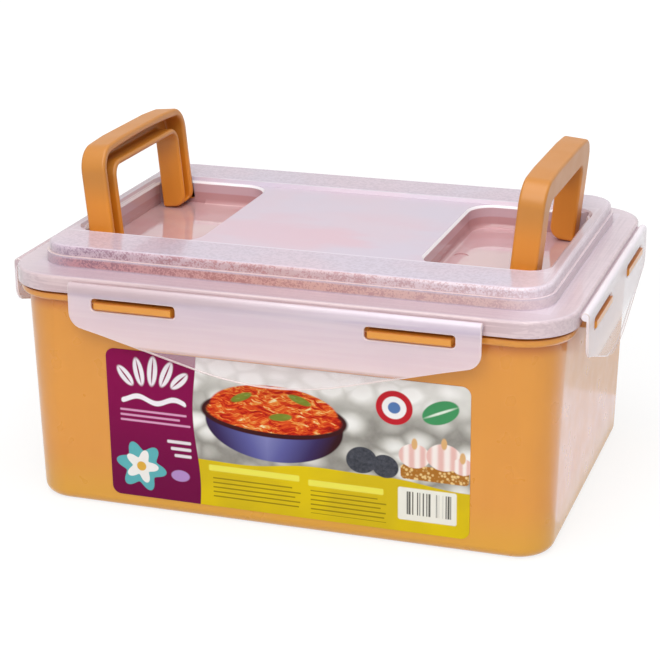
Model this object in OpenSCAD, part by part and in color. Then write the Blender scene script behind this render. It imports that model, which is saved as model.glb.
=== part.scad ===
// Kimchi container: drafted tub, translucent lid with four locking flaps,
// two fold-down handles, inner press plate and a front label.
// Origin at the middle of the base, +X to the right, -Y to the label side.

/* [Tub] */
// Outer width of the tub wall at the rim
tub_w = 301.6; // [280:1:330]
// Outer depth of the tub wall at the rim
tub_d = 216.4; // [195:1:240]
// Height of the rim above the ground
tub_h = 131.2; // [118:0.1:150]
// Outer corner radius at the rim
tub_corner_r = 24; // [18:1:32]
// How far each wall leans in from rim to base
tub_draft = 3.6; // [1:0.1:6]
// Thickness of the tub wall
tub_wall = 2.4; // [1.8:0.1:3.2]
// Thickness of the tub floor
tub_floor = 2.8; // [2:0.1:4]
// Radius of the rounded base edge
base_fillet = 6; // [4:0.5:8]
// Depth of the shallow hollow under the base
foot_h = 1; // [0.6:0.1:1.4]
// Distance from the base edge to that hollow
foot_inset = 18; // [14:1:26]

/* [Rim lip and lugs] */
// Distance from the rim top down to the lip's underside
lip_drop = 11.2; // [9:0.1:13]
// Height of the lip
lip_h = 4.3; // [3.5:0.1:5]
// How far the lip stands out from the wall
lip_out = 3.7; // [2.8:0.1:4.4]
// Radius under the lip
lip_round = 2.4; // [1:0.1:3]
// Length of one catch lug
lug_len = 44; // [30:1:48]
// Height of one catch lug
lug_h = 4.2; // [3.4:0.1:4.6]
// Distance between the two lugs of the long sides, centre to centre
lug_pitch_long = 152; // [130:1:160]
// Distance between the two lugs of the short sides, centre to centre
lug_pitch_short = 94; // [88:1:104]
// Bevel on the lug's lower outer edge
lug_bevel = 0.8; // [0.6:0.1:1.2]

/* [Lid] */
// How far the skirt stands out from the tub wall
skirt_over = 5.5; // [4.6:0.1:6]
// Height of the skirt, from its lower edge to the flange top
skirt_h = 9; // [7.5:0.1:9.5]
// Wall thickness of the lid
lid_t = 2.2; // [1.6:0.1:2.4]
// Radius of the flange's outer top edge
skirt_round = 1.8; // [1:0.1:2]
// Distance from the skirt to the platform on the short sides
platform_inset_x = 13.8; // [12:0.1:18]
// Distance from the skirt to the platform on the long sides
platform_inset_y = 16.7; // [13:0.1:20]
// Corner radius of the platform
platform_r = 19.5; // [14:1:26]
// Height of the platform's lower step above the flange
step_h = 6; // [5:0.1:8]
// Width of the ledge between the two steps
step_in = 1.5; // [1:0.1:2.5]
// Height of the frame above the ledge
frame_h = 5.4; // [4:0.1:7]
// Radius of the platform's top edge
frame_round = 2.2; // [1:0.1:2.6]
// How far the middle panel is sunk below the frame
panel_sink = 2; // [0.8:0.1:2.2]
// Width of the slope down from the frame to the panel
panel_slope = 1.4; // [0.5:0.1:2]
// Width of the frame between the platform's short side and the panel
frame_end_w = 8.5; // [7:0.5:10]
// Width of the panel beside a recess
panel_margin = 1.9; // [1.6:0.1:4]
// Gap between the tub's wall and the locating rib inside it
rib_gap = 1.8; // [1:0.1:3]
// How far the locating rib reaches down into the tub
rib_drop = 8; // [5:0.5:12]

/* [Handle recesses] */
// Length of a recess at its rim, from the inner to the outer wall
recess_len = 68.5; // [67:0.5:70]
// Width of the panel between a recess and the frame at the short ends
recess_edge = 1.5; // [1.4:0.1:3]
// Depth of a recess below the panel
recess_drop = 13.1; // [12.8:0.1:14]
// How far a recess wall leans out over its height
recess_draft = 0.6; // [0.2:0.1:1]
// Radius between the floor and the walls of a recess
recess_fillet = 3; // [1:0.5:3]
// Width of the bevel round the rim of a recess
recess_rim = 1.2; // [0.6:0.1:1.3]
// Corner radius of a recess
recess_in_r = 14; // [10:1:15]
// Gap between a folded handle and the recess floor
foot_gap = 0.75; // [0.75:0.05:1.2]
// Diameter of the round moulding mark on a recess floor
gate_mark_d = 8; // [5:1:10]

/* [Handles] */
// Width of a handle over both legs
handle_w = 119; // [110:1:120]
// Reach of a handle from its pivot to the middle of its top
handle_reach = 54.2; // [50:0.1:54.4]
// Thickness of a handle
handle_t = 14.5; // [12:0.1:14.6]
// Width of a leg
leg_w = 16; // [13:0.5:18]
// Depth of the top bar
bar_h = 15.4; // [12:0.1:18]
// How much the top bar is crowned
crown = 2.6; // [1:0.1:4]
// Outer corner radius of a handle
handle_r = 14; // [12:0.5:16]
// Corner radius of the finger opening
opening_r = 6; // [4:0.5:8]
// Thickness of the handle's outer web
web_t = 3; // [2.2:0.1:4]
// Thickness of the channel's outer wall
outer_wall = 4.5; // [3.6:0.1:5]
// Thickness of the channel's inner wall
inner_wall = 3.3; // [2.4:0.1:4]
// Solid height left under the channel at each foot
channel_rest = 3; // [2:0.5:6]
// Outward lean of a raised handle, in degrees
handle_lean = 5.5; // [2:0.5:8]
// Diameter of a handle's pivot pin
pin_d = 6; // [5:0.1:7]
// Length of a pivot pin
pin_len = 6; // [4:0.5:7]
// Gap between a handle leg and the recess end wall
leg_gap = 1; // [0.6:0.1:1.4]

/* [Flaps] */
// Length of the flaps on the long sides
flap_long = 227; // [210:1:236]
// Length of the flaps on the short sides
flap_short = 172; // [160:1:176]
// Drop of a flap's lower edge at its ends, below the hinge line
flap_end_drop = 20.7; // [19:0.1:26]
// Drop of a flap's lower edge in the middle, below the hinge line
flap_mid_drop = 44.9; // [38:0.1:50]
// Thickness of a flap
flap_t = 1.8; // [1.5:0.1:2]
// Radius of the rolled shoulder at the hinge line
shoulder_r = 2.3; // [2:0.1:2.4]
// Distance from the flange top down to the hinge line
hinge_drop = 3.9; // [3.6:0.1:4.2]
// Length of one slot
slot_len = 48; // [46:1:52]
// Height of one slot
slot_h = 6.8; // [6.2:0.1:7]
// Corner radius of a slot
slot_r = 2; // [0.5:0.1:2]
// Gap under a lug inside its slot
slot_gap = 0.8; // [0.6:0.1:1]

/* [Inside] */
// Height of the press plate's underside above the ground
plate_z = 88; // [60:1:92]
// Height of the press plate's rim
plate_rim_h = 14; // [10:1:18]
// Thickness of the press plate
plate_t = 2.2; // [1.8:0.1:3]
// Side gap between the press plate and the tub
plate_gap = 0.05; // [0.05:0.05:0.5]
// Diameter of the air hole
vent_d = 7; // [5:0.5:9]
// Thickness of the gasket
gasket_t = 1.6; // [1:0.1:2]

/* [Label] */
// Width of the label
label_w = 204; // [180:1:210]
// Height of the label
label_h = 86.4; // [70:0.5:90]
// Height of the label's lower edge above the ground
label_z = 8.6; // [7:0.1:12]
// Sideways place of the label's middle
label_x = 4; // [0:0.5:6]
// Thickness of the label
label_t = 0.3; // [0.2:0.05:0.5]
// Corner radius of the label
label_r = 5; // [2:0.5:8]

/* [Hidden] */
$fn = 64;
// Running gap between small parts and an overlap used for clean joins
fit_gap = 0.3;
pin_play = 0.1;
join = 1;
// Tub
draft_angle = atan(tub_draft / tub_h);
lip_z = tub_h - lip_drop;
lip_w = tub_w + 2 * lip_out;
lip_d = tub_d + 2 * lip_out;
lip_r = tub_corner_r + lip_out;
// Lid levels, from the seat of the gasket up
flange_z = tub_h + gasket_t;
flange_top = flange_z + lid_t;
skirt_z = flange_top - skirt_h;
skirt_w = tub_w + 2 * skirt_over;
skirt_d = tub_d + 2 * skirt_over;
skirt_r = tub_corner_r + skirt_over;
panel_r = platform_r - 7;
step_z = flange_top + step_h;
frame_z = step_z + frame_h;
panel_z = frame_z - panel_sink;
recess_z = panel_z - recess_drop;
platform_w = skirt_w - 2 * platform_inset_x;
platform_d = skirt_d - 2 * platform_inset_y;
rib_w = tub_w - 2 * tub_wall - 2 * rib_gap;
rib_d = tub_d - 2 * tub_wall - 2 * rib_gap;
rib_r = tub_corner_r - tub_wall - rib_gap;
// Handle recess, measured at its rim, and pivot
panel_half_x = platform_w / 2 - frame_end_w;
recess_out_x = panel_half_x - recess_edge;
recess_in_x = recess_out_x - recess_len;
leg_side = handle_w / 2 + leg_gap;
recess_half_y = leg_side + recess_draft;
panel_half_y = recess_half_y + panel_margin;
pivot_x = recess_in_x + 1.7 + handle_reach;
pivot_z = recess_z + foot_gap + handle_t / 2;
boss_d = min(pin_d + 5, 2 * (panel_z - pivot_z) - 0.4);
boss_len = pin_len + 2;
// Handle top: one wide circle crowns it and a small one turns each corner
half_handle = handle_w / 2;
crown_r = (half_handle * half_handle + crown * crown) / (2 * crown);
crown_z = handle_reach - crown_r;
corner_y = half_handle - handle_r;
corner_z = crown_z + sqrt((crown_r - handle_r) * (crown_r - handle_r) - corner_y * corner_y);
crown_turn = asin(corner_y / (crown_r - handle_r));
// Flaps: hinge line, plate and slot places, measured out from the skirt's face
hinge_out = shoulder_r + 0.5;
hinge_z = flange_top - hinge_drop;
plate_out = hinge_out + shoulder_r - flap_t;
lug_out = plate_out + flap_t + 0.9;
web_half = 0.5;
lug_z = lip_z;
slot_z = lug_z - slot_gap;
// Press plate seat on the drafted walls
seat_lean = tub_draft * (tub_h - plate_z) / tub_h;
press_w = tub_w - 2 * tub_wall - 2 * seat_lean - 2 * plate_gap;
press_d = tub_d - 2 * tub_wall - 2 * seat_lean - 2 * plate_gap;
press_r = tub_corner_r - tub_wall - seat_lean - plate_gap;
vent_x = 62;
vent_cap_d = vent_d + 8;

// Flat rounded rectangle
module rounded_rect(w, d, r) {
    square([w - 2 * r, d], center = true);
    square([w, d - 2 * r], center = true);
    for (sx = [-1, 1], sy = [-1, 1])
        translate([sx * (w / 2 - r), sy * (d / 2 - r)])
            circle(r);
}

// Upright plate with rounded corners, from height z up by h
module slab(w, d, r, z, h) {
    translate([0, 0, z])
        linear_extrude(h)
            rounded_rect(w, d, r);
}

// Half section of a moulded block: the wall leans out by draft over its height
module block_section(run, h, draft, low, high) {
    a = atan(draft / h);
    low_x = run - draft + low * (sin(a) - 1) / cos(a);
    high_x = run - high * (1 + sin(a)) / cos(a);
    polygon([
        [0, 0],
        [low_x, 0],
        [low_x + low * cos(a), low - low * sin(a)],
        [high_x + high * cos(a), h - high - high * sin(a)],
        [high_x, h],
        [0, h],
    ]);
    if (low > 0)
        translate([low_x, low])
            circle(low);
    if (high > 0)
        translate([high_x, h - high])
            circle(high);
}

// Moulded block: drafted walls, round corners, and rounded lower and upper edges
module moulded_block(w, d, r, h, draft = 0, low = 0, high = 0) {
    translate([-w / 2 + r, -d / 2 + r, 0])
        cube([w - 2 * r, d - 2 * r, h]);
    for (side = [0:3]) {
        run = side % 2 == 0 ? w : d;
        across = side % 2 == 0 ? d : w;
        rotate(90 * side) {
            translate([run / 2 - r, 0, 0])
                rotate([90, 0, 0])
                    linear_extrude(across - 2 * r, center = true)
                        block_section(r, h, draft, low, high);
            translate([run / 2 - r, across / 2 - r, 0])
                rotate_extrude()
                    block_section(r, h, draft, low, high);
        }
    }
}

// Puts a copy of a part on each side of the container; children get side 0 facing +X
module on_side(side) {
    rotate([0, 0, 90 * side])
        children();
}

function side_reach(side, w, d) = (side % 2 == 0 ? w : d) / 2;
function side_pitch(side) = side % 2 == 0 ? lug_pitch_short : lug_pitch_long;
function flap_len(side) = side % 2 == 0 ? flap_short : flap_long;

// One catch lug, standing out from the lip on the +X side
module lug(reach) {
    root = reach + lip_out - join;
    tip = reach + skirt_over + lug_out;
    translate([0, lug_len / 2, lug_z])
        rotate([90, 0, 0])
            linear_extrude(lug_len)
                polygon([
                    [root, 0],
                    [tip - lug_bevel, 0],
                    [tip, lug_bevel],
                    [tip, lug_h],
                    [root, lug_h],
                ]);
}

// Section of the tub's wall and lip, measured from the corner's centre line
module tub_section() {
    inner_h = tub_h - tub_floor + join;
    lean = tub_draft / tub_h;
    difference() {
        union() {
            block_section(tub_corner_r, tub_h, tub_draft, base_fillet, 0);
            translate([0, lip_z])
                block_section(lip_r, lip_h, 0, lip_round, 0);
        }
        translate([-join, tub_floor])
            square([2 * join, inner_h]);
        translate([0, tub_floor])
            block_section(tub_corner_r - tub_wall + lean * join, inner_h, lean * inner_h,
                base_fillet - tub_wall, 0);
    }
}

// Runs a section round the tub: four sides and four corners
module round_the_tub() {
    half_w = tub_w / 2 - tub_corner_r;
    half_d = tub_d / 2 - tub_corner_r;
    for (side = [0:3])
        on_side(side) {
            reach = side % 2 == 0 ? half_w : half_d;
            across = side % 2 == 0 ? half_d : half_w;
            translate([reach, 0, 0])
                rotate([90, 0, 0])
                    linear_extrude(2 * across, center = true)
                        children();
            translate([reach, across, 0])
                rotate_extrude(angle = 90)
                    children();
        }
}

module tub() {
    color([0.87, 0.58, 0.28])
        difference() {
            union() {
                round_the_tub()
                    tub_section();
                translate([tub_corner_r - tub_w / 2, tub_corner_r - tub_d / 2, 0])
                    cube([tub_w - 2 * tub_corner_r, tub_d - 2 * tub_corner_r, tub_floor]);
                for (side = [0:3], place = [-0.5, 0.5])
                    on_side(side)
                        translate([0, place * side_pitch(side), 0])
                            lug(side_reach(side, tub_w, tub_d));
            }
            slab(tub_w - 2 * tub_draft - 2 * foot_inset, tub_d - 2 * tub_draft - 2 * foot_inset,
                tub_corner_r - foot_inset / 2, -join, foot_h + join);
        }
}

// Walls, floor and pivot bosses that one recess adds under the lid
module recess_shell() {
    mid_x = (recess_in_x + recess_out_x) / 2;
    translate([mid_x, 0, recess_z - lid_t])
        slab(recess_len + 2 * lid_t, 2 * (recess_half_y + lid_t), recess_in_r + lid_t, 0,
            recess_drop + lid_t - join);
    translate([pivot_x - handle_t, -leg_side - lid_t, recess_z - lid_t])
        cube([recess_out_x + lid_t - pivot_x + handle_t, 2 * (leg_side + lid_t),
            recess_drop + lid_t - join]);
    for (sy = [-1, 1])
        translate([pivot_x, sy * leg_side, pivot_z])
            rotate([-90 * sy, 0, 0])
                cylinder(d = boss_d, h = boss_len);
}

// The space cut from the lid by one recess: drafted walls on a rounded floor, a bevelled rim,
// square pockets where the handle's feet turn, and the pivot bores
module recess_cut() {
    mid_x = (recess_in_x + recess_out_x) / 2;
    flare = recess_rim + join;
    translate([mid_x, 0, recess_z])
        moulded_block(recess_len, 2 * recess_half_y, recess_in_r, recess_drop + join, recess_draft,
            recess_fillet, 0);
    translate([mid_x, 0, panel_z - recess_rim])
        moulded_block(recess_len + 2 * flare, 2 * (recess_half_y + flare), recess_in_r + flare, flare,
            flare, 0, 0);
    translate([pivot_x - handle_t, -leg_side, recess_z])
        cube([recess_out_x - recess_draft - pivot_x + handle_t, 2 * leg_side, recess_drop + join]);
    for (sy = [-1, 1])
        translate([pivot_x, sy * (leg_side - join), pivot_z])
            rotate([-90 * sy, 0, 0])
                cylinder(d = pin_d + 2 * pin_play, h = join + pin_len);
}

// Thin web on the skirt that carries one flap, on the +X side
module hinge_web(len, reach) {
    face = reach + skirt_over;
    web = hinge_out - shoulder_r - pin_play;
    translate([face - join, -len / 2, hinge_z - web_half])
        cube([join + web, len, 2 * web_half]);
}

module lid() {
    hollow_w = platform_w - 2 * lid_t;
    hollow_d = platform_d - 2 * lid_t;
    hollow_r = platform_r - lid_t;
    slope = panel_slope * (panel_sink + join) / panel_sink;
    color([0.88, 0.82, 0.88, 0.6])
        difference() {
            union() {
                difference() {
                    union() {
                        translate([0, 0, skirt_z])
                            moulded_block(skirt_w, skirt_d, skirt_r, skirt_h, 0, 0, skirt_round);
                        slab(platform_w, platform_d, platform_r, flange_top - join, step_h + join);
                        translate([0, 0, step_z - join])
                            moulded_block(platform_w - 2 * step_in, platform_d - 2 * step_in,
                                platform_r - step_in, frame_h + join, 0, 0, frame_round);
                    }
                    slab(skirt_w - 2 * lid_t, skirt_d - 2 * lid_t, skirt_r - lid_t, skirt_z - join,
                        flange_z - skirt_z + join);
                    slab(hollow_w, hollow_d, hollow_r, flange_z - join, step_z - lid_t - flange_z + join);
                    slab(hollow_w - 2 * step_in, hollow_d - 2 * step_in, hollow_r - step_in,
                        step_z - lid_t - join, panel_z - step_z + join);
                    translate([0, 0, panel_z])
                        moulded_block(2 * (panel_half_x + slope), 2 * (panel_half_y + slope),
                            panel_r + slope, panel_sink + join, slope, 0, 0);
                }
                difference() {
                    slab(rib_w, rib_d, rib_r, tub_h - rib_drop, rib_drop + gasket_t + lid_t / 2);
                    slab(rib_w - 2 * lid_t, rib_d - 2 * lid_t, rib_r - lid_t, tub_h - rib_drop - join,
                        rib_drop + gasket_t + lid_t + 2 * join);
                }
                for (flip = [0, 1])
                    rotate(180 * flip)
                        recess_shell();
                for (side = [0:3])
                    on_side(side)
                        hinge_web(flap_len(side), side_reach(side, tub_w, tub_d));
            }
            for (flip = [0, 1])
                rotate(180 * flip)
                    recess_cut();
            for (sx = [-1, 1])
                translate([sx * (recess_in_x + gate_mark_d), 0, recess_z - 0.4])
                    cylinder(d = gate_mark_d, h = join);
        }
}

module gasket() {
    outer_w = skirt_w - 2 * lid_t - 2 * fit_gap;
    outer_d = skirt_d - 2 * lid_t - 2 * fit_gap;
    outer_r = skirt_r - lid_t - fit_gap;
    color([0.93, 0.93, 0.95])
        difference() {
            slab(outer_w, outer_d, outer_r, tub_h, gasket_t);
            slab(rib_w + 2 * fit_gap, rib_d + 2 * fit_gap, rib_r + fit_gap, tub_h - join,
                gasket_t + 2 * join);
        }
}

// Points along an arc, from angle a0 to a1
function arc_points(cx, cy, r, a0, a1, steps) = [
    for (i = [0:steps])
        let (a = a0 + (a1 - a0) * i / steps)
            [cx + r * cos(a), cy + r * sin(a)]
];

// Half of a flap's lower edge, from the middle to the end: straight slope with a rounded middle
function flap_drop(s, half) =
    let (
        middle = 0.36 * half,
        fall = (flap_mid_drop - flap_end_drop) / (half - middle / 2),
        run = abs(s)
    )
        run < middle ? flap_mid_drop - fall * run * run / (2 * middle)
            : flap_mid_drop - fall * (run - middle / 2);

// Flap seen from outside: s along the hinge, t below the hinge line
function flap_outline(half) =
    let (
        corner = 9,
        steps = 24,
        edge_half = half - corner,
        turn = flap_drop(edge_half, half) - corner
    )
        concat(
            [[-half, 0]],
            arc_points(-edge_half, -turn, corner, 180, 262, 6),
            [for (i = [1:steps - 1])
                let (s = edge_half * (2 * i / steps - 1))
                    [s, -flap_drop(s, half)]],
            arc_points(edge_half, -turn, corner, 278, 360, 6),
            [[half, 0]]
        );

// One flap, hanging from the skirt on the +X side
module flap(len, pitch, reach) {
    face = reach + skirt_over;
    difference() {
        union() {
            translate([face + hinge_out, len / 2, hinge_z])
                rotate([90, 0, 0])
                    cylinder(r = shoulder_r, h = len);
            translate([face + plate_out, 0, hinge_z])
                rotate([90, 0, 90])
                    linear_extrude(flap_t)
                        polygon(flap_outline(len / 2));
        }
        for (place = [-0.5, 0.5])
            translate([face + plate_out - join, place * pitch, slot_z + slot_h / 2])
                rotate([90, 0, 90])
                    linear_extrude(flap_t + 2 * join)
                        rounded_rect(slot_len, slot_h, slot_r);
    }
}

module flap_on(side) {
    color([0.87, 0.78, 0.83, 0.6])
        on_side(side)
            flap(flap_len(side), side_pitch(side), side_reach(side, tub_w, tub_d));
}

module flap_right() {
    flap_on(0);
}

module flap_back() {
    flap_on(1);
}

module flap_left() {
    flap_on(2);
}

module flap_front() {
    flap_on(3);
}

// Outline of a handle's arch, inset by a margin, down to a base
module arch_outline(margin, base) {
    half = half_handle - margin;
    reach = crown_r + join;
    translate([-half, base])
        square([2 * half, corner_z - base]);
    for (sy = [-1, 1])
        translate([sy * corner_y, corner_z])
            circle(handle_r - margin);
    intersection() {
        translate([0, crown_z])
            circle(crown_r - margin);
        polygon([
            [-corner_y, corner_z],
            [corner_y, corner_z],
            [reach * sin(crown_turn), crown_z + reach * cos(crown_turn)],
            [-reach * sin(crown_turn), crown_z + reach * cos(crown_turn)],
        ]);
    }
}

// Finger opening in the handle's own plane, grown by a margin
module opening_outline(margin) {
    half = half_handle - leg_w + margin;
    top = handle_reach - bar_h + margin;
    r = opening_r + margin;
    base = -handle_t;
    translate([-half, base])
        square([2 * half, top - r - base]);
    translate([-half + r, base])
        square([2 * (half - r), top - base]);
    for (sx = [-1, 1])
        translate([sx * (half - r), top - r])
            circle(r);
}

// Upright handle with its pivot at the origin, web towards +X, legs along Z.
// The square heel of each foot meets the recess floor and stops the outward lean.
module handle_form() {
    t = handle_t / 2;
    difference() {
        union() {
            translate([-t, 0, 0])
                rotate([90, 0, 90])
                    linear_extrude(handle_t)
                        arch_outline(0, 0);
            rotate([90, 0, 0])
                cylinder(r = t, h = handle_w, center = true);
            translate([0, -half_handle, -t])
                cube([t, handle_w, t + join]);
        }
        translate([-t - join, 0, 0])
            rotate([90, 0, 90])
                linear_extrude(handle_t + 2 * join)
                    opening_outline(0);
        translate([-t - join, 0, 0])
            rotate([90, 0, 90])
                linear_extrude(handle_t - web_t + join)
                    difference() {
                        arch_outline(outer_wall, channel_rest - t);
                        opening_outline(inner_wall);
                    }
    }
    for (sy = [-1, 1])
        translate([0, sy * (half_handle - join), 0])
            rotate([-90 * sy, 0, 0])
                cylinder(d = pin_d, h = join + pin_len);
}

module handle_right() {
    color([0.85, 0.53, 0.2])
        translate([pivot_x, 0, pivot_z])
            rotate([0, handle_lean, 0])
                handle_form();
}

module handle_left() {
    color([0.85, 0.53, 0.2])
        translate([-pivot_x, 0, pivot_z])
            rotate([0, -handle_lean, 0])
                rotate(180)
                    handle_form();
}

module press_plate() {
    grip_len = 70;
    grip_w = 9;
    grip_h = 11;
    rib_h = 3;
    color([0.9, 0.88, 0.84])
        difference() {
            union() {
                difference() {
                    slab(press_w, press_d, press_r, plate_z, plate_rim_h);
                    slab(press_w - 2 * plate_t, press_d - 2 * plate_t, press_r - plate_t,
                        plate_z + plate_t, plate_rim_h);
                }
                for (sx = [-1, 0, 1])
                    translate([sx * press_w / 4 - plate_t / 2, (plate_t - press_d) / 2,
                        plate_z + plate_t / 2])
                        cube([plate_t, press_d - plate_t, plate_t / 2 + rib_h]);
                translate([-grip_len / 2, -grip_w / 2, plate_z + plate_t / 2])
                    cube([grip_len, grip_w, grip_h]);
                for (sx = [-1, 1])
                    translate([sx * grip_len / 2, 0, plate_z + plate_t / 2])
                        cylinder(d = grip_w, h = grip_h);
                translate([vent_x, 0, plate_z])
                    cylinder(d = vent_cap_d, h = plate_t + rib_h);
            }
            translate([vent_x, 0, plate_z - join])
                cylinder(d = vent_d, h = plate_t + rib_h + 2 * join);
        }
}

module vent_plug() {
    top = plate_z + plate_t + 3;
    color([0.82, 0.5, 0.25])
        translate([vent_x, 0, 0]) {
            translate([0, 0, top])
                cylinder(d = vent_cap_d, h = 2);
            translate([0, 0, plate_z])
                cylinder(d = vent_d - 2 * fit_gap, h = top - plate_z + join);
            translate([0, 0, top + 1])
                cylinder(d = 5, h = 6);
        }
}

// Sticker lying on the drafted front wall
module label() {
    color([0.83, 0.73, 0.2])
        translate([0, -tub_d / 2, tub_h])
            rotate([draft_angle, 0, 0])
                translate([label_x, -0.05, label_z - tub_h + label_h / 2])
                    rotate([90, 0, 0])
                        linear_extrude(label_t)
                            rounded_rect(label_w, label_h, label_r);
}

tub();
lid();
gasket();
flap_front();
flap_back();
flap_left();
flap_right();
handle_left();
handle_right();
press_plate();
vent_plug();
label();
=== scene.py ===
"""The looks of the kimchi container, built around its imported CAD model."""

import math

import bpy
from mathutils import Matrix, Vector

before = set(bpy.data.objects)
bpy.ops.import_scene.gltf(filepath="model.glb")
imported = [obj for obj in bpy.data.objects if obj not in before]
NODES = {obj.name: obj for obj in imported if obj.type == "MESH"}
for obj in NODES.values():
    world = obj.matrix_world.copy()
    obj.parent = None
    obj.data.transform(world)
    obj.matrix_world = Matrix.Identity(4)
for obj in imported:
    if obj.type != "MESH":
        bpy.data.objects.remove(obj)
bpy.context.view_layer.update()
MM = 0.001

# Levels and reaches of the CAD model, in millimetres, that the materials follow

LIP_FOOT = 120.0
LIP_TOP = 124.3
HINGE_LEVEL = 131.5
FLAP_FOOT = 86.5
FLANGE_TOP = 135.0
STEP_TOP = 141.0
PANEL_TOP = 144.4
FRAME_TOP = 146.4
PANEL_HALF_X = 135.4
PANEL_HALF_Y = 64.4
RECESS_MIDDLE = (98.2, 0)
RECESS_HALF = (34.6, 61.6)
RECESS_CORNER = 14.0


def colour(red, green, blue, alpha=1.0):
    """A colour given as it shows on a screen, 0 to 255, as Blender's linear numbers."""

    def linear(value):
        value /= 255
        return value / 12.92 if value <= 0.04045 else ((value + 0.055) / 1.055) ** 2.4

    return (linear(red), linear(green), linear(blue), alpha)


# Camera, at the photograph's viewing angle

CAMERA_AZIMUTH = math.radians(18.378)
CAMERA_ELEVATION = math.radians(19.052)
CAMERA_ROLL = math.radians(-0.273)
CAMERA_DISTANCE = 1.1285
CAMERA_TARGET = Vector((-0.005465, 0, 0.07916))
CAMERA_LENS = 106.29


def make_camera():
    """The camera, turned about its target and then rolled."""
    level = math.cos(CAMERA_ELEVATION)
    back = Vector((
        math.sin(CAMERA_AZIMUTH) * level,
        -math.cos(CAMERA_AZIMUTH) * level,
        math.sin(CAMERA_ELEVATION),
    ))
    right = Vector((0, 0, 1)).cross(back).normalized()
    up = back.cross(right)
    c = math.cos(CAMERA_ROLL)
    s = math.sin(CAMERA_ROLL)
    right, up = right * c + up * s, up * c - right * s
    data = bpy.data.cameras.new("camera")
    data.lens = CAMERA_LENS
    data.sensor_width = 36
    data.clip_start = 0.05
    data.clip_end = 20
    camera = bpy.data.objects.new("camera", data)
    bpy.context.scene.collection.objects.link(camera)
    turn = Matrix((right, up, back)).transposed().to_4x4()
    camera.matrix_world = Matrix.Translation(CAMERA_TARGET + back * CAMERA_DISTANCE) @ turn
    bpy.context.scene.camera = camera


# Shader graphs, written as sums of values


class Value:
    """A shader socket that can be added, multiplied and compared like a number."""

    def __init__(self, graph, socket):
        self.graph = graph
        self.socket = socket

    def __add__(self, other):
        return self.graph.math("ADD", self, other)

    def __sub__(self, other):
        return self.graph.math("SUBTRACT", self, other)

    def __rsub__(self, other):
        return self.graph.math("SUBTRACT", other, self)

    def __mul__(self, other):
        return self.graph.math("MULTIPLY", self, other)

    def __truediv__(self, other):
        return self.graph.math("DIVIDE", self, other)

    def __abs__(self):
        return self.graph.math("ABSOLUTE", self)


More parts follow.
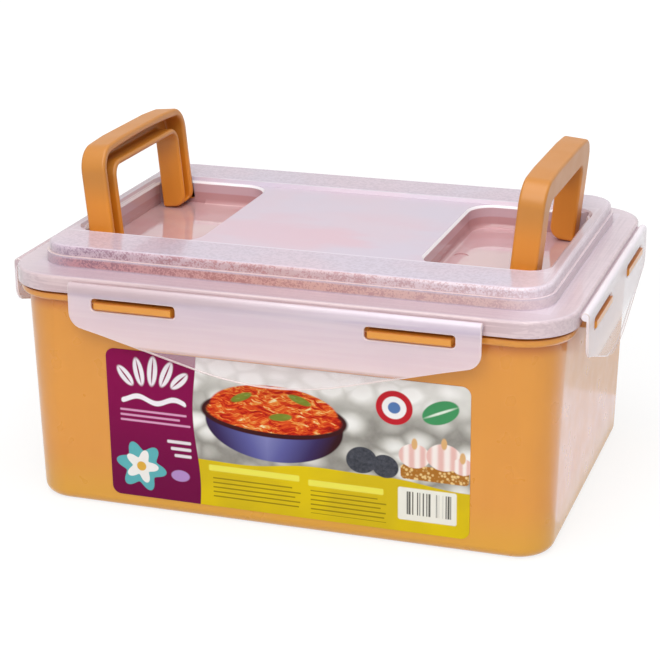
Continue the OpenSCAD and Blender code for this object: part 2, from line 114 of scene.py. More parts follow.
class Graph:
    """One material, with short names for the nodes it is made of."""

    def __init__(self, name):
        self.material = bpy.data.materials.new(name)
        self.material.use_nodes = True
        self.tree = self.material.node_tree
        self.tree.nodes.clear()
        self.output = self.tree.nodes.new("ShaderNodeOutputMaterial")
        self._place = None

    def link(self, value, socket):
        if isinstance(value, Value):
            self.tree.links.new(value.socket, socket)
        else:
            socket.default_value = value

    def math(self, operation, first, second=0.0):
        node = self.tree.nodes.new("ShaderNodeMath")
        node.operation = operation
        self.link(first, node.inputs[0])
        self.link(second, node.inputs[1])
        return Value(self, node.outputs[0])

    def place(self):
        """The point on the part in millimetres, as a vector and as x, y and z."""
        if self._place is None:
            coordinates = self.tree.nodes.new("ShaderNodeTexCoord")
            scale = self.tree.nodes.new("ShaderNodeVectorMath")
            scale.operation = "SCALE"
            scale.inputs["Scale"].default_value = 1 / MM
            self.tree.links.new(coordinates.outputs["Object"], scale.inputs[0])
            split = self.tree.nodes.new("ShaderNodeSeparateXYZ")
            self.tree.links.new(scale.outputs[0], split.inputs[0])
            axes = [Value(self, split.outputs[axis]) for axis in "XYZ"]
            self._place = [Value(self, scale.outputs[0]), *axes]
        return self._place

    def normal(self):
        """The part's own x, y and z share of the surface's direction."""
        coordinates = self.tree.nodes.new("ShaderNodeTexCoord")
        split = self.tree.nodes.new("ShaderNodeSeparateXYZ")
        self.tree.links.new(coordinates.outputs["Normal"], split.inputs[0])
        return [Value(self, split.outputs[axis]) for axis in "XYZ"]

    def most(self, first, second):
        return self.math("MAXIMUM", first, second)

    def red(self, tint):
        """The red share of a colour, as a number."""
        node = self.tree.nodes.new("ShaderNodeSeparateColor")
        self.link(tint, node.inputs[0])
        return Value(self, node.outputs[0])

    def vector(self, x, y, z=0.0):
        node = self.tree.nodes.new("ShaderNodeCombineXYZ")
        for socket, value in zip(node.inputs, (x, y, z)):
            self.link(value, socket)
        return Value(self, node.outputs[0])

    def noise(self, size, detail=2.0, rough=0.5, vector=None, seed=0.0, distortion=0.0):
        """Noise from 0 to 1, whose features measure about size millimetres."""
        node = self.tree.nodes.new("ShaderNodeTexNoise")
        node.noise_dimensions = "4D"
        node.inputs["W"].default_value = seed
        node.inputs["Scale"].default_value = 1 / size
        node.inputs["Detail"].default_value = detail
        node.inputs["Roughness"].default_value = rough
        node.inputs["Distortion"].default_value = distortion
        self.link(vector or self.place()[0], node.inputs["Vector"])
        return Value(self, node.outputs["Fac"])

    def cells(self, size, vector=None, feature="F1", output="Distance"):
        """Cells of about size millimetres: how far off their middle or edge is, or their colour."""
        node = self.tree.nodes.new("ShaderNodeTexVoronoi")
        node.feature = feature
        node.inputs["Scale"].default_value = 1 / size
        self.link(vector or self.place()[0], node.inputs["Vector"])
        return Value(self, node.outputs[output])

    def ramp(self, value, low, high, to_low=0.0, to_high=1.0, smooth=True):
        """value from low to high becomes to_low to to_high, and stays there outside."""
        node = self.tree.nodes.new("ShaderNodeMapRange")
        node.interpolation_type = "SMOOTHSTEP" if smooth else "LINEAR"
        node.clamp = True
        numbers = {"From Min": low, "From Max": high, "To Min": to_low, "To Max": to_high}
        for name, number in numbers.items():
            node.inputs[name].default_value = number
        self.link(value, node.inputs["Value"])
        return Value(self, node.outputs["Result"])

    def band(self, value, low, low_full, high_full, high):
        """1 between two levels, 0 outside, with a soft step at each."""
        return self.ramp(value, low, low_full) * self.ramp(value, high, high_full)

    def mix(self, factor, first, second):
        """A colour between two colours."""
        node = self.tree.nodes.new("ShaderNodeMix")
        node.data_type = "RGBA"
        self.link(factor, node.inputs["Factor"])
        self.link(first, node.inputs[6])
        self.link(second, node.inputs[7])
        return Value(self, node.outputs[2])

    def box(self, x, z, middle, half, corner=0.0, soft=0.35):
        """1 inside an upright box with round corners, 0 outside, in millimetres."""
        over_x = abs(x - middle[0]) - (half[0] - corner)
        over_z = abs(z - middle[1]) - (half[1] - corner)
        if corner > 0:
            out_x, out_z = self.most(over_x, 0.0), self.most(over_z, 0.0)
            reach = self.math("SQRT", out_x * out_x + out_z * out_z) - corner
        else:
            reach = self.most(over_x, over_z)
        return self.ramp(reach, soft, -soft)

    def oval(self, x, z, middle, radii, turn=0.0, soft=0.35):
        """1 inside an oval that is turned by some degrees, 0 outside."""
        c = math.cos(math.radians(turn))
        s = math.sin(math.radians(turn))
        dx = x - middle[0]
        dz = z - middle[1]
        along = (dx * c + dz * s) / radii[0]
        across = (dz * c - dx * s) / radii[1]
        reach = self.math("SQRT", along * along + across * across)
        edge = soft / min(radii)
        return self.ramp(reach, 1 + edge, 1 - edge)

    def bands(self, value, stops):
        """A colour ramp: stops are (position, colour)."""
        node = self.tree.nodes.new("ShaderNodeValToRGB")
        ramp = node.color_ramp
        while len(ramp.elements) < len(stops):
            ramp.elements.new(0.5)
        for element, (position, tint) in zip(ramp.elements, stops):
            element.position = position
            element.color = tint
        self.link(value, node.inputs["Fac"])
        return Value(self, node.outputs["Color"])

    def bump(self, height, depth, strength=1.0):
        """A surface normal from a height of 0 to 1 that stands for depth millimetres."""
        node = self.tree.nodes.new("ShaderNodeBump")
        node.inputs["Strength"].default_value = strength
        node.inputs["Distance"].default_value = depth * MM
        self.link(height, node.inputs["Height"])
        return Value(self, node.outputs["Normal"])

    def shader(self, **inputs):
        """The material's one surface shader."""
        node = self.tree.nodes.new("ShaderNodeBsdfPrincipled")
        for name, value in inputs.items():
            self.link(value, node.inputs[name.replace("_", " ")])
        self.tree.links.new(node.outputs[0], self.output.inputs["Surface"])
        return self.material


def dress(name, material):
    """Gives a CAD node its material."""
    data = NODES[name].data
    data.materials.clear()
    data.materials.append(material)


# Materials of the moulded pieces


def moulded_plastic(name, tint, shade, foot=None, painted_top_shade=None, rough=0.3, gloss=0.14):
    """Smooth opaque plastic with faint flow marks and a slightly uneven gloss. A foot
    colour is for the tub, which turns to it towards its bottom and gets a painted shadow
    under its lip and under the lid's skirt, and a painted top shade is for the handles,
    which grow darker towards their tops."""
    g = Graph(name)
    _, x, y, z = g.place()
    cloud = g.noise(70, detail=3, seed=1.0)
    streak = g.noise(9, detail=2, seed=4.0, vector=g.vector(x, y, z * 0.06))
    tone = g.mix(g.ramp(cloud * 0.7 + streak * 0.3, 0.35, 0.65), shade, tint)
    if foot:
        tone = g.mix(g.ramp(z, 34, 2), tone, foot)
        # Painted shadow under the lip, and on the lip's top where the lid's skirt overhangs it
        under_lip_shadow = g.band(z, LIP_FOOT - 8, LIP_FOOT - 1, LIP_FOOT - 0.4, LIP_FOOT + 0.4)
        painted_lip_shadow = under_lip_shadow + g.ramp(z, LIP_TOP - 0.9, LIP_TOP - 0.1)
        tone = g.mix(painted_lip_shadow * 0.6, tone, colour(190, 96, 18))
    # Painted shade: the handles grow darker towards their tops
    if painted_top_shade:
        tone = g.mix(g.ramp(z, 158, 176), tone, painted_top_shade)
    return g.shader(
        Base_Color=tone,
        Roughness=g.ramp(g.noise(14, seed=3.0), 0.3, 0.7, rough - 0.03, rough + 0.04),
        IOR=1.5,
        Coat_Weight=0.4,
        Coat_Roughness=gloss,
    )


def lid_milk(g):
    """Lilac milk, rosier over the food in the middle, with a mottled frame round it and a
    painted highlight along the frame's inner edge.
    """
    _, x, y, z = g.place()
    cloud = g.noise(60, detail=3, seed=2.0)
    patches = g.noise(26, detail=3, seed=5.0, vector=g.vector(x * 0.45, y, z))
    rose = g.oval(x, y, (15, -28), (95, 34), turn=-4, soft=26) * g.ramp(patches, 0.38, 0.62)
    milk = g.mix(g.ramp(cloud, 0.35, 0.65), colour(216, 203, 220), colour(222, 200, 214))
    milk = g.mix(rose * 0.6, milk, colour(232, 186, 198))

    past_panel = g.most(abs(x) - PANEL_HALF_X, abs(y) - PANEL_HALF_Y)
    mottle = g.ramp(g.noise(1.6, detail=3, seed=8.0), 0.42, 0.6)
    milk = g.mix(g.ramp(past_panel, 0.0, 1.0) * mottle * 0.35, milk, colour(186, 174, 184))
    # Painted highlight: a pale line along the frame's inner edge
    inner_edge_highlight = g.band(past_panel, -0.3, 0.3, 1.0, 1.8)
    return g.mix(inner_edge_highlight * 0.8, milk, colour(236, 226, 238))


def lid_walls(g, skin):
    """Grained walls of the platform in two bands, and how much of each lies at a point."""
    _, x, y, z = g.place()
    nz = g.normal()[2]
    along = g.ramp(x, -130, 130, smooth=False)
    outer = g.ramp(g.most(abs(x) - PANEL_HALF_X - 0.1, abs(y) - 90), 0.0, 0.8)
    grain = g.noise(0.95, detail=2, rough=0.6, seed=11.0)
    coarse = g.noise(5, detail=2, seed=12.0)
    specks = g.ramp(grain + (coarse - 0.5) * 0.5, 0.44, 0.6)
    upper = g.bands(along, [
        (0.0, colour(206, 182, 198)), (0.5, colour(214, 182, 184)), (1.0, colour(240, 226, 236)),
    ])
    lower = g.bands(along, [
        (0.0, colour(206, 150, 158)), (0.5, colour(226, 178, 166)), (1.0, colour(232, 204, 200)),
    ])
    dark = g.bands(along, [
        (0.0, colour(128, 104, 132)), (0.35, colour(178, 112, 110)), (1.0, colour(204, 170, 176)),
    ])
    paler_end = g.ramp(x, -142, -114, 0.35, 1.0)
    upper_band = g.band(z, STEP_TOP - 0.1, STEP_TOP + 0.6, FRAME_TOP - 0.6, FRAME_TOP - 0.1)
    upper_band = upper_band * outer * paler_end
    lower_band = g.band(z, FLANGE_TOP - 0.6, FLANGE_TOP + 1.2, STEP_TOP - 1.6, STEP_TOP - 0.1)
    lower_band = lower_band * outer * paler_end
    skin = g.mix(upper_band, skin, g.mix(specks * 0.75, upper, dark))
    skin = g.mix(lower_band, skin, g.mix(specks * 0.7, lower, dark))

    # Painted highlights make the step between the bands and the frame's outer edge paler
    ledge_highlight = g.band(z, STEP_TOP - 1.0, STEP_TOP - 0.4, STEP_TOP + 0.4, STEP_TOP + 1.2)
    skin = g.mix(ledge_highlight * outer * g.ramp(nz, 0.55, 0.85), skin, colour(246, 220, 212))
    rim = g.ramp(z, FRAME_TOP - 0.5, FRAME_TOP - 0.2) * outer * g.ramp(nz, 0.97, 0.85)
    skin = g.mix(rim * 0.5, skin, colour(238, 226, 234))
    return skin, upper_band + lower_band


def lid_recesses(g, skin):
    """Mauve walls in two tones, a rosy floor and a painted highlight along the rim, and
    where the recesses are.
    """
    _, x, y, z = g.place()
    nz = g.normal()[2]
    inside = g.box(abs(x), y, RECESS_MIDDLE, RECESS_HALF, RECESS_CORNER, 0.3)
    inside = g.ramp(z, PANEL_TOP - 0.2, PANEL_TOP - 1.0) * inside
    wall = g.mix(g.ramp(z, 137.4, 138.4), colour(198, 148, 150), colour(210, 176, 184))
    cloud = g.ramp(g.noise(30, seed=14.0), 0.4, 0.6)
    floor = g.mix(cloud, colour(222, 176, 180), colour(226, 188, 188))
    skin = g.mix(inside, skin, g.mix(g.ramp(nz, 0.8, 0.97), wall, floor))
    # Painted highlight: a near-white line along each recess's rim
    rim = g.box(abs(x), y, RECESS_MIDDLE, (36.2, 63), 15.5, 0.2)
    rim = g.ramp(z, PANEL_TOP - 1.5, PANEL_TOP - 1.1) * rim * g.ramp(nz, 0.92, 0.8)
    return g.mix(rim, skin, colour(254, 250, 254)), inside


def lid_skirt(g, skin):
    """Skirt and flange, rosy where the tub's rim lies close behind, and paler at both ends."""
    _, x, y, z = g.place()
    past_wall = g.ramp(g.most(abs(x) - 143, abs(y) - 98), 0.0, 1.0)
    skirt = g.ramp(z, FLANGE_TOP + 0.4, FLANGE_TOP - 0.4) * past_wall
    lines = g.noise(1.3, detail=1, seed=16.0, vector=g.vector(x * 0.03, y, z))
    tone = g.mix(g.ramp(lines, 0.42, 0.58), colour(212, 184, 186), colour(230, 204, 204))
    skin = g.mix(skirt * 0.85, skin, tone)
    apron = g.band(z, FLANGE_TOP - 0.5, FLANGE_TOP - 0.1, FLANGE_TOP + 0.3, FLANGE_TOP + 0.8)
    skin = g.mix(apron * g.ramp(y, -90, -96) * 0.5, skin, colour(204, 182, 194))

    # The right end catches more light, and both ends have long streaks beside their walls
    right_end = g.ramp(x, 112, 150) * (1 - skirt * 0.6)
    skin = g.mix(right_end * 0.75, skin, colour(248, 234, 244))
    streak = g.ramp(g.noise(1.5, detail=2, seed=15.0, vector=g.vector(x, y * 0.03, z)), 0.45, 0.62)
    beside_walls = g.ramp(abs(x), 134.5, 136) * g.ramp(abs(y), 96, 82)
    skin = g.mix(beside_walls * streak * 0.28, skin, colour(204, 186, 198))
    return g.mix(g.ramp(x, -122, -150) * 0.6, skin, colour(232, 216, 222))


def milky_lid():
    """The lid: milky plastic with a rosy depth, a grained skin on the platform's walls
    and glossy recess floors."""
    g = Graph("milky_lid")
    skin, grained = lid_walls(g, lid_milk(g))
    skin, inside = lid_recesses(g, skin)
    skin = lid_skirt(g, skin)
    glossy_floor = inside * g.ramp(g.normal()[2], 0.9, 0.98)
    rough = g.ramp(grained, 0.0, 1.0, 0.2, 0.42, smooth=False)
    fine = g.noise(0.8, detail=2, seed=17.0)
    wave = g.noise(30, seed=19.0)
    return g.shader(
        Base_Color=skin,
        Roughness=rough * g.ramp(glossy_floor, 0.0, 1.0, 1.0, 0.2),
        IOR=1.5,
        Alpha=0.86,
        Coat_Weight=g.ramp(glossy_floor, 0.0, 1.0, 0.4, 1.0),
        Coat_Roughness=0.04,
        Normal=g.bump(fine * grained + wave * 3.0, 0.03, 0.5),
    )


def milky_flap(name, gloss=1.0):
    """A locking flap: milky at its shoulder, clearer towards its lower edge, with a painted
    shadow line under the shoulder, painted shade on the shoulder towards the left and
    painted light on the flap at the right end.
    """
    g = Graph(name)
    _, x, y, z = g.place()
    drop = g.ramp(z, HINGE_LEVEL, FLAP_FOOT, smooth=False)
    streak = g.noise(2.6, detail=2, seed=3.0, vector=g.vector(x * 0.04, y * 0.04, z))
    # The darker stop just under the top is a painted shadow line under the shoulder
    tone = g.bands(drop, [
        (0.0, colour(234, 220, 232)), (0.08, colour(218, 204, 224)), (0.14, colour(236, 220, 234)),
        (0.6, colour(246, 228, 238)), (1.0, colour(244, 236, 240)),
    ])
    tone = g.mix(g.ramp(streak, 0.4, 0.62) * 0.4, tone, colour(250, 238, 244))
    # Painted light: the flap at the right end is paler
    tone = g.mix(g.ramp(x, 150, 158), tone, colour(255, 248, 255))
    # Painted shade on the shoulder, deeper towards the left
    shoulder = g.ramp(x, 90, -90) * g.ramp(drop, 0.14, 0.04)
    tone = g.mix(shoulder * 0.8, tone, colour(210, 184, 188))
    cover = [(0.0, 0.85), (0.12, 0.6), (0.66, 0.56), (0.71, 0.17), (1.0, 0.15)]
    return g.shader(
        Base_Color=tone,
        Roughness=g.ramp(g.noise(12, seed=5.0), 0.3, 0.7, 0.14, 0.2),
        IOR=1.5,
        Alpha=g.bands(drop, [(at, (share, share, share, 1)) for at, share in cover]),
        Specular_IOR_Level=0.5 * gloss,
        Coat_Weight=0.25 * gloss,
        Coat_Roughness=0.05,
        Normal=g.bump(g.noise(26, seed=7.0), 0.12, 0.4),
    )


def milky_edge_highlight():
    """The flaps' rounded edges, painted pale as highlight lines."""
    g = Graph("milky_flap_edge")
    return g.shader(
        Base_Color=g.mix(g.noise(8, seed=2.0), colour(252, 234, 226), colour(246, 232, 236)),
        Roughness=0.2,
        IOR=1.5,
        Alpha=0.7,
        Coat_Weight=0.4,
        Coat_Roughness=0.05,
    )


def plain_material(name, tint, rough):
    """One colour with faint clouds and a fine grain."""
    g = Graph(name)
    cloud = g.ramp(g.noise(25, seed=2.0), 0.35, 0.65)
    deeper = tuple(0.93 * share for share in tint[:3]) + (1,)
    return g.shader(
        Base_Color=g.mix(cloud, tint, deeper),
        Roughness=rough,
        Normal=g.bump(g.noise(1.2, detail=2), 0.01, 0.5),
    )


# The label's print: plain fields and simple motifs, without any words

WHITE_INK = colour(246, 240, 246)
PALE_YELLOW = colour(238, 230, 90)
OLIVE_INK = colour(132, 112, 12)
LEAF_GREEN = colour(96, 142, 48)
BOWL_MIDDLE = -2
RULE_PITCH = 2.7
FLOWER = (-80, 27)


class Print:
    """The label's picture, painted from the back to the front in millimetres."""

    def __init__(self, graph, ground):
        self.graph = graph
        self.x = graph.place()[1]
        self.z = graph.place()[3]
        self.tone = ground

    def paint(self, mask, tint, share=1.0):
        if share < 1:
            mask = mask * share
        self.tone = self.graph.mix(mask, self.tone, tint)

    def box(self, middle, half, corner=0.0):
        return self.graph.box(self.x, self.z, middle, half, corner)

    def oval(self, middle, radii, turn=0.0, soft=0.35):
        return self.graph.oval(self.x, self.z, middle, radii, turn, soft)


def print_yellow_band(g, p):
    """Ruled fields under two pale bars, and a white field with stripes."""
    row = g.math("FRACT", p.z / RULE_PITCH)
    number = g.math("FLOOR", p.z / RULE_PITCH)
    lengths = g.noise(1.0, detail=0, vector=g.vector(number * 3.7, 0.5, 0.5), seed=3.0)
    rule = g.band(row, 0.28, 0.36, 0.6, 0.68)
    for left, right, low, high in ((-38, 12, 13, 28), (18, 60, 12, 26)):
        field = g.ramp(p.x, left, left + 0.4) * g.band(p.z, low, low + 0.3, high - 0.3, high)
        field = field * g.ramp(p.x - lengths * 30, right - 14.6, right - 15)
        p.paint(field * rule, OLIVE_INK, 0.75)
    p.paint(p.box((-14, 31.5), (26, 1.8), 0.8), PALE_YELLOW)
    p.paint(p.box((38, 30), (21, 1.8), 0.8), PALE_YELLOW)
    p.paint(p.box((83, 25), (16, 9.4), 1.2), colour(238, 236, 226))
    stripes = g.noise(1.15, detail=1, vector=g.vector(p.x, 0.0, 0.0), seed=6.0)
    p.paint(p.box((83, 25.6), (13, 6.6), 0.2) * g.ramp(stripes, 0.5, 0.54), colour(60, 56, 50))


def print_pebbles(g, p):
    """Grey pebbles above a wavy edge, paler towards the top, and where they are."""
    wave = g.math("SINE", p.x / 24.0) * 2.2 + g.math("SINE", p.x / 9.0) * 0.5
    field = g.ramp(p.z - wave, 37.2, 37.8)
    warp = g.noise(14, detail=1, seed=9.0)
    where = g.vector(p.x * 0.72, p.z + warp * 3, 0.0)
    gap = g.cells(11, vector=where, feature="DISTANCE_TO_EDGE")
    shade = g.red(g.cells(11, vector=where, output="Color"))
    dome = g.ramp(g.cells(11, vector=where), 0.78, 0.1)
    stone = (g.ramp(gap, 0.0, 0.22) * 0.4 + 0.6) * (dome * 0.85 + 0.15) * (shade * 0.25 + 0.75)
    grit = g.noise(3, detail=2, seed=10.0)
    stone = stone * 0.85 + g.ramp(p.z, 66, 92) * 0.5 + grit * 0.1
    p.paint(field, g.bands(stone, [
        (0.0, colour(110, 106, 100)), (0.2, colour(168, 165, 158)),
        (0.5, colour(214, 212, 206)), (0.9, colour(250, 249, 246)),
    ]))
    return field


def print_bowl(g, p, field):
    """A violet bowl with a dark rim and a heap of red and orange strips."""
    across = abs(p.x + 6) + (66 - p.z) * 0.5
    glaze = g.bands(g.ramp(across, 4, 44, smooth=False), [
        (0.0, colour(136, 138, 190)), (0.35, colour(96, 96, 158)),
        (0.75, colour(60, 46, 92)), (1.0, colour(52, 20, 26)),
    ])
    body = p.oval((BOWL_MIDDLE, 61), (39, 21.5)) * g.ramp(p.z, 66, 65.4)
    p.paint(body * field, glaze)
    p.paint(p.oval((BOWL_MIDDLE, 66), (41.5, 12.5)), colour(62, 22, 24))
    curl = g.noise(11, detail=2, seed=21.0) * 9
    laid = g.vector(p.x * 0.28 + curl * 0.4, p.z + curl, 0.0)
    strips = g.noise(2.6, detail=3, rough=0.65, distortion=1.2, seed=22.0, vector=laid)
    food = g.bands(strips, [
        (0.3, colour(134, 18, 10)), (0.42, colour(196, 36, 18)), (0.52, colour(226, 84, 30)),
        (0.6, colour(236, 158, 70)), (0.68, colour(244, 226, 176)),
    ])
    heap = p.oval((BOWL_MIDDLE, 69.5), (36, 14)) * g.ramp(p.z, 60, 60.6)
    p.paint(g.most(heap, p.oval((BOWL_MIDDLE, 66.2), (38, 10))), food)
    for at, turn in (((-20, 75), 24), ((13, 77), -18), ((2, 66), 8)):
        p.paint(p.oval(at, (6.5, 2.1), turn), LEAF_GREEN, 0.85)


def print_stones_and_bulbs(g, p):
    """Two dark stones, and a row of pale ribbed bulbs on ochre grains."""
    coal = g.mix(g.noise(1.6, detail=3, seed=25.0), colour(20, 22, 28), colour(96, 98, 108))
    p.paint(p.oval((47, 47), (8.6, 7.6), 10), coal)
    p.paint(p.oval((60, 45), (7.4, 6.6), -12), coal)
    grain = g.ramp(g.cells(1.9, vector=g.vector(p.x, p.z)), 0.2, 0.6)
    grains = g.mix(grain, colour(236, 204, 140), colour(172, 112, 44))
    p.paint(p.box((87, 43.6), (18.6, 4.2), 2.4), grains)
    for at, size in (((76, 53), 8.6), ((92, 54), 9.6), ((102, 50), 6)):
        ribs = g.ramp(g.math("SINE", (p.x - at[0]) * (9.0 / size)), -1, 1)
        skin = g.mix(ribs, colour(232, 188, 180), colour(248, 236, 230))
        p.paint(p.oval(at, (size, size * 0.8)), skin)
        p.paint(p.oval((at[0], at[1] + size * 0.8), (1.6, 3.2)), colour(222, 176, 120))


def print_badges(p):
    """A red, white and blue rosette, and a green leaf."""
    p.paint(p.oval((65, 79), (10, 9.6)), colour(196, 36, 48))
    p.paint(p.oval((65, 79), (6.6, 6.3)), colour(246, 244, 244))
    p.paint(p.oval((65, 79), (3.4, 3.2)), colour(88, 124, 180))
    p.paint(p.oval((90, 79), (10.5, 6.2), 24), colour(70, 150, 96))
    p.paint(p.oval((90, 79), (8.2, 0.7), 24), colour(226, 238, 222))


def print_magenta_panel(g, p):
    """A deep magenta panel with a fan of leaves, a ribbon, bars and a flower."""
    edge = g.math("SINE", p.z / 13.0) * 1.6
    deep = g.mix(g.ramp(p.z, 10, 92), colour(112, 8, 66), colour(140, 10, 78))
    p.paint(g.ramp(p.x - edge, -46.4, -47), deep)
    fan = (
        (-87, 80, 6.6, 128), (-79, 83, 8.0, 100), (-71, 84, 8.6, 84),
        (-63, 83, 8.0, 66), (-55.5, 80, 6.6, 44),
    )
    for across, up, length, turn in fan:
        p.paint(p.oval((across, up), (length, 2.9), turn), WHITE_INK)
        p.paint(p.oval((across, up), (length * 0.8, 0.45), turn, soft=0.2), deep)
    ribbon = g.math("SINE", p.x / 3.4) * 1.6
    p.paint(g.box(p.x, p.z - ribbon, (-71, 67), (19, 1.5), 1.4), WHITE_INK)
    for low, right in ((60, -52), (57, -56), (54, -50)):
        bar = p.box(((-91 + right) / 2, low), ((right + 91) / 2, 0.6), 0.5)
        p.paint(bar, colour(222, 160, 196))

    # A flower in a ring of leaves, three short bars and an oval
    dx = p.x - FLOWER[0]
    dz = p.z - FLOWER[1]
    around = g.math("ARCTAN2", dz, dx)
    away = g.math("SQRT", dx * dx + dz * dz)
    leaves = g.math("COSINE", around * 6 + 1.0)
    p.paint(g.ramp(away - leaves * 2.6, 12.6, 12.0), colour(96, 178, 184))
    petals = g.math("COSINE", around * 5)
    p.paint(g.ramp(away - petals * 2.4, 8.0, 7.4), colour(242, 240, 236))
    p.paint(g.ramp(away, 3.0, 2.5), colour(226, 176, 70))
    for low, left in ((44, -64), (40, -62), (36, -60)):
        p.paint(p.box(((left - 50) / 2, low), ((-50 - left) / 2, 0.9), 0.7), WHITE_INK, 0.85)
    p.paint(p.oval((-57, 24), (5.4, 3.4)), colour(186, 150, 210), 0.9)


def label_print():
    """The label: a yellow foot, a picture field over it and a magenta panel on the left."""
    g = Graph("label_print")
    cloud = g.ramp(g.noise(40, seed=1.0), 0.4, 0.6)
    p = Print(g, g.mix(cloud, colour(224, 196, 18), colour(212, 184, 26)))
    print_yellow_band(g, p)
    field = print_pebbles(g, p)
    print_bowl(g, p, field)
    print_stones_and_bulbs(g, p)
    print_badges(p)
    print_magenta_panel(g, p)
    return g.shader(
        Base_Color=p.tone,
        Roughness=g.ramp(g.noise(8, seed=31.0), 0.3, 0.7, 0.34, 0.44),
        IOR=1.45,
        Specular_IOR_Level=0.12,
        Normal=g.bump(g.noise(20, seed=30.0), 0.1, 0.4),
    )


# Rounded edges, and the pieces dressed

JOIN_REACH = 0.01
FLAT_ANGLE = math.radians(0.6)
EDGE_ANGLE = math.radians(38)


def round_edges(name, width, segments=2, material=-1, clamp=True, dissolve=True):
    """Joins a node's faces, rounds its sharp edges and evens its shading. Flat faces are
    not dissolved on the tub, whose flat rim runs round its open mouth."""
    part = NODES[name]
    weld = part.modifiers.new("join", "WELD")
    weld.merge_threshold = JOIN_REACH * MM
    if dissolve:
        flat = part.modifiers.new("flat", "DECIMATE")
        flat.decimate_type = "DISSOLVE"
        flat.angle_limit = FLAT_ANGLE
    bevel = part.modifiers.new("round", "BEVEL")
    bevel.width = width * MM
    bevel.segments = segments
    bevel.limit_method = "ANGLE"
    bevel.angle_limit = EDGE_ANGLE
    bevel.use_clamp_overlap = clamp
    bevel.miter_outer = "MITER_ARC"
    if material >= 0:
        bevel.material = material
    part.modifiers.new("shade", "WEIGHTED_NORMAL")


tub_plastic = moulded_plastic(
    "ochre_tub", colour(227, 150, 47), colour(222, 145, 42), foot=colour(224, 160, 38),
)
dress("tub", tub_plastic)
round_edges("tub", 0.5, dissolve=False)

# The handles, with a painted shade towards their tops
handle_plastic = moulded_plastic(
    "ochre_handle", colour(222, 137, 26), colour(214, 130, 22),
    painted_top_shade=colour(194, 124, 38), rough=0.5, gloss=0.36,
)
for side in ("left", "right"):
    dress("handle_" + side, handle_plastic)
    round_edges("handle_" + side, 1.6, segments=3, clamp=False)

dress("lid", milky_lid())
# The flaps' rounded edges carry a painted highlight material
flap_edge_highlight = milky_edge_highlight()
long_flap = milky_flap("milky_flap_long")
short_flap = milky_flap("milky_flap_short", gloss=0.4)
flaps = {"front": long_flap, "back": long_flap, "left": short_flap, "right": short_flap}
for side, plastic in flaps.items():
    dress("flap_" + side, plastic)
    NODES["flap_" + side].data.materials.append(flap_edge_highlight)
    round_edges("flap_" + side, 0.55, material=1, clamp=False)

dress("gasket", plain_material("white_rubber", colour(236, 232, 236), 0.5))
dress("press_plate", plain_material("pale_plate", colour(232, 214, 218), 0.4))
dress("vent_plug", plain_material("ochre_rubber", colour(214, 140, 70), 0.5))
dress("label", label_print())


# Floor, lights and backdrop

FLOOR_HALF = 4.0
FLOOR_NEAR = 0.3
FLOOR_FAR = 1.1
FLOOR_GLOW_NEAR = 0.79
FLOOR_GLOW_FAR = 0.95
FLOOR_SEEN = (0.24, 0.24, 0.24, 1)
FLOOR_BOUNCE = (0.75, 0.75, 0.75, 1)
AMBIENT = 0.5
BACKDROP = 1.0


def make_floor():
    """A white floor to the eye, to mirrors and to clear plastic, which keeps the object's
    shadow. To all other light it is plain pale paper."""
    half = FLOOR_HALF
    mesh = bpy.data.meshes.new("floor")
    corners = [(-half, -half, 0), (half, -half, 0), (half, half, 0), (-half, half, 0)]
    mesh.from_pydata(corners, [], [(0, 1, 2, 3)])
    floor = bpy.data.objects.new("floor", mesh)
    bpy.context.scene.collection.objects.link(floor)
    material = bpy.data.materials.new("pale_floor")
    material.use_nodes = True
    tree = material.node_tree
    tree.nodes.clear()
    output = tree.nodes.new("ShaderNodeOutputMaterial")
    path = tree.nodes.new("ShaderNodeLightPath")
    seen = tree.nodes.new("ShaderNodeMath")
    seen.operation = "MAXIMUM"
    tree.links.new(path.outputs["Is Camera Ray"], seen.inputs[0])
    tree.links.new(path.outputs["Is Glossy Ray"], seen.inputs[1])
    also = tree.nodes.new("ShaderNodeMath")
    also.operation = "MAXIMUM"
    tree.links.new(seen.outputs[0], also.inputs[0])
    tree.links.new(path.outputs["Is Transmission Ray"], also.inputs[1])
    glow = tree.nodes.new("ShaderNodeEmission")
    coordinates = tree.nodes.new("ShaderNodeTexCoord")
    reach = tree.nodes.new("ShaderNodeVectorMath")
    reach.operation = "LENGTH"
    fade = tree.nodes.new("ShaderNodeMapRange")
    fade.interpolation_type = "SMOOTHSTEP"
    fade.inputs["From Min"].default_value = FLOOR_NEAR
    fade.inputs["From Max"].default_value = FLOOR_FAR
    fade.inputs["To Min"].default_value = FLOOR_GLOW_NEAR
    fade.inputs["To Max"].default_value = FLOOR_GLOW_FAR
    tree.links.new(coordinates.outputs["Object"], reach.inputs[0])
    tree.links.new(reach.outputs["Value"], fade.inputs["Value"])
    tree.links.new(fade.outputs["Result"], glow.inputs["Strength"])
    shadow = tree.nodes.new("ShaderNodeBsdfDiffuse")
    shadow.inputs["Color"].default_value = FLOOR_SEEN
    both = tree.nodes.new("ShaderNodeAddShader")
    tree.links.new(glow.outputs[0], both.inputs[0])
    tree.links.new(shadow.outputs[0], both.inputs[1])
    bounce = tree.nodes.new("ShaderNodeBsdfDiffuse")
    bounce.inputs["Color"].default_value = FLOOR_BOUNCE
    choose = tree.nodes.new("ShaderNodeMixShader")
    tree.links.new(also.outputs[0], choose.inputs[0])
    tree.links.new(bounce.outputs[0], choose.inputs[1])
    tree.links.new(both.outputs[0], choose.inputs[2])
    tree.links.new(choose.outputs[0], output.inputs["Surface"])
    mesh.materials.append(material)


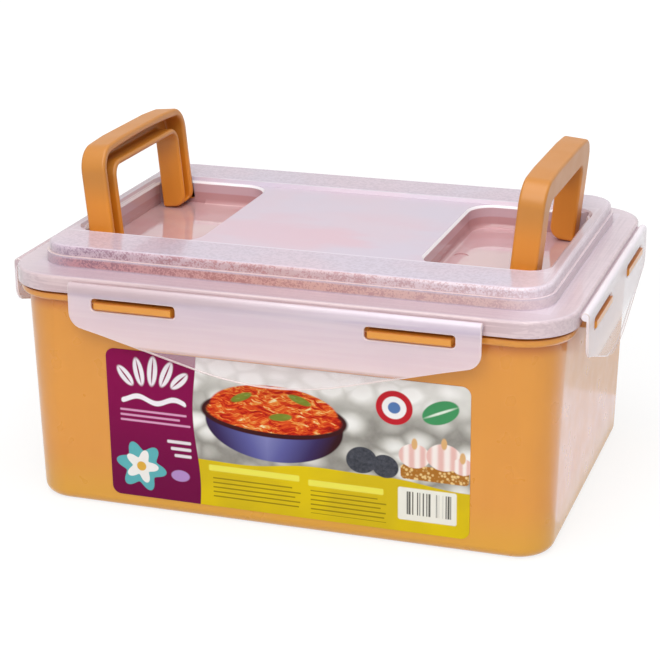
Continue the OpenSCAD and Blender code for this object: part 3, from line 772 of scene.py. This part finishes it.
def make_world():
    """A white backdrop to the eye and to mirrors, and a softer one for all other light."""
    world = bpy.data.worlds.new("studio")
    bpy.context.scene.world = world
    world.use_nodes = True
    tree = world.node_tree
    tree.nodes.clear()
    output = tree.nodes.new("ShaderNodeOutputWorld")
    path = tree.nodes.new("ShaderNodeLightPath")
    seen = tree.nodes.new("ShaderNodeMath")
    seen.operation = "MAXIMUM"
    tree.links.new(path.outputs["Is Camera Ray"], seen.inputs[0])
    tree.links.new(path.outputs["Is Glossy Ray"], seen.inputs[1])
    ambient = tree.nodes.new("ShaderNodeBackground")
    ambient.inputs["Strength"].default_value = AMBIENT
    white = tree.nodes.new("ShaderNodeBackground")
    white.inputs["Strength"].default_value = BACKDROP
    choose = tree.nodes.new("ShaderNodeMixShader")
    tree.links.new(seen.outputs[0], choose.inputs[0])
    tree.links.new(ambient.outputs[0], choose.inputs[1])
    tree.links.new(white.outputs[0], choose.inputs[2])
    tree.links.new(choose.outputs[0], output.inputs["Surface"])


def make_lamp(name, place, aim, size, power, tint=(1, 1, 1)):
    """A soft rectangular lamp of some watts, turned from its place to its aim."""
    data = bpy.data.lights.new(name, "AREA")
    data.shape = "RECTANGLE"
    data.size = size[0]
    data.size_y = size[1]
    data.energy = power
    data.color = tint
    lamp = bpy.data.objects.new(name, data)
    bpy.context.scene.collection.objects.link(lamp)
    lamp.location = place
    lamp.rotation_mode = "QUATERNION"
    lamp.rotation_quaternion = (Vector(aim) - Vector(place)).to_track_quat("-Z", "Y")
    return lamp


make_camera()
make_floor()
make_world()
make_lamp("top_light", (0.05, -0.25, 1.3), (0, 0, 0.1), (1.2, 1.0), 9.5)
make_lamp("front_light", (0.15, -1.2, 1.05), (0, 0, 0.07), (1.0, 0.7), 9.6)
make_lamp("right_light", (0.9, 0.2, 1.2), (0, 0, 0.1), (0.9, 0.9), 1.0)

# A dim bluish card on the floor, which the tub's right wall mirrors
card_place = (0.27, 0.04, 0.004)
card_tint = (0.75, 0.95, 1.5)
card = make_lamp("right_card", card_place, (0.27, 0.04, 1.0), (0.24, 0.2), 0.045, card_tint)
card.visible_diffuse = False
card.visible_camera = False

bpy.context.scene.view_settings.view_transform = "Standard"
